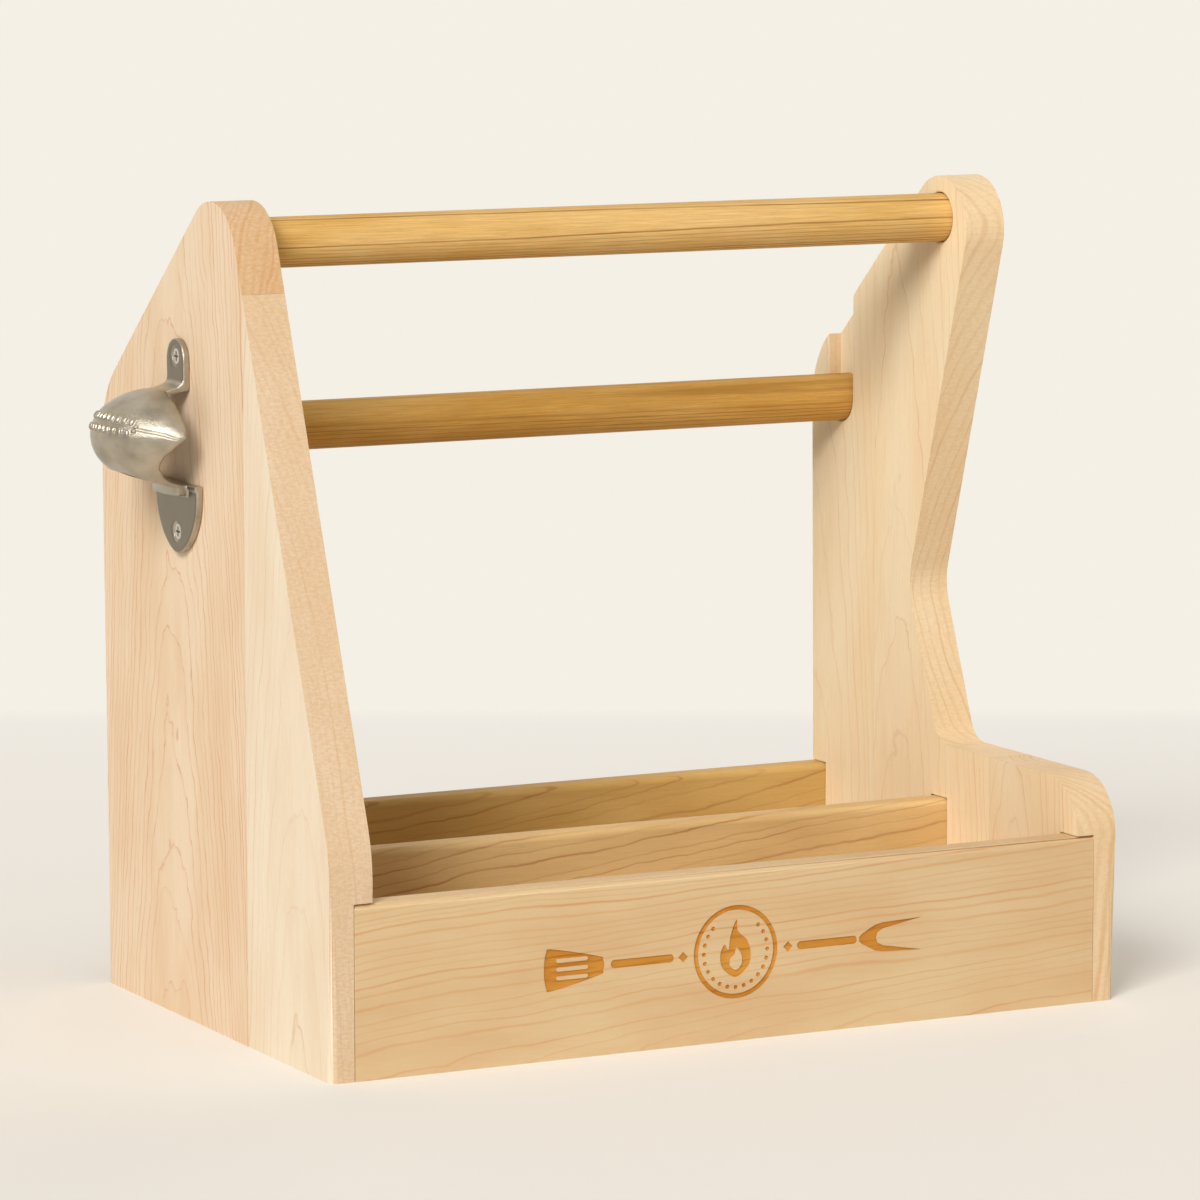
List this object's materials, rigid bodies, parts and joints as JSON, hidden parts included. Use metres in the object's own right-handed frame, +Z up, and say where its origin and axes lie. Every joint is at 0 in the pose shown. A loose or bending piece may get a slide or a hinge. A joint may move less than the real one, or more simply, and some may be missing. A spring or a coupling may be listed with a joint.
{
  "type": "barbecue caddy",
  "caption": "Open-topped wooden caddy with front and rear bins, a fixed dowel handle, a lift-out paper-towel bar and a cast bottle opener on its side panel.",
  "frame": {"origin": "centre of the bounding box in plan, on the surface that the caddy stands on", "axes": "+X from the side panel with the bottle opener to the other side panel, +Y from the front board to the back board, +Z up"},
  "size_m": [0.4072, 0.2326, 0.3464],
  "materials": {
    "maple": "oiled satin",
    "maple_ply": "oiled satin",
    "dowel_wood": "oiled satin",
    "satin_nickel": "satin nickel plate on a casting"
  },
  "bodies": {
    "caddy": {"left_side_front_stave": "maple", "left_side_rear_stave": "maple", "right_side_front_stave": "maple", "right_side_middle_stave": "maple", "right_side_rear_stave": "maple", "front_board": "maple", "divider_board": "maple", "back_board": "maple", "bottom_panel": "maple_ply", "handle_dowel": "dowel_wood", "bottle_opener": "satin_nickel", "opener_screw_upper": "satin_nickel", "opener_screw_lower": "satin_nickel"},
    "towel_bar": {"towel_bar": "dowel_wood"}
  },
  "joints": [
    {"name": "towel_bar_lift", "type": "slide", "parent": "caddy", "child": "towel_bar", "axis": [0, 0, 1], "range_m": [0, 0.12]}
  ]
}
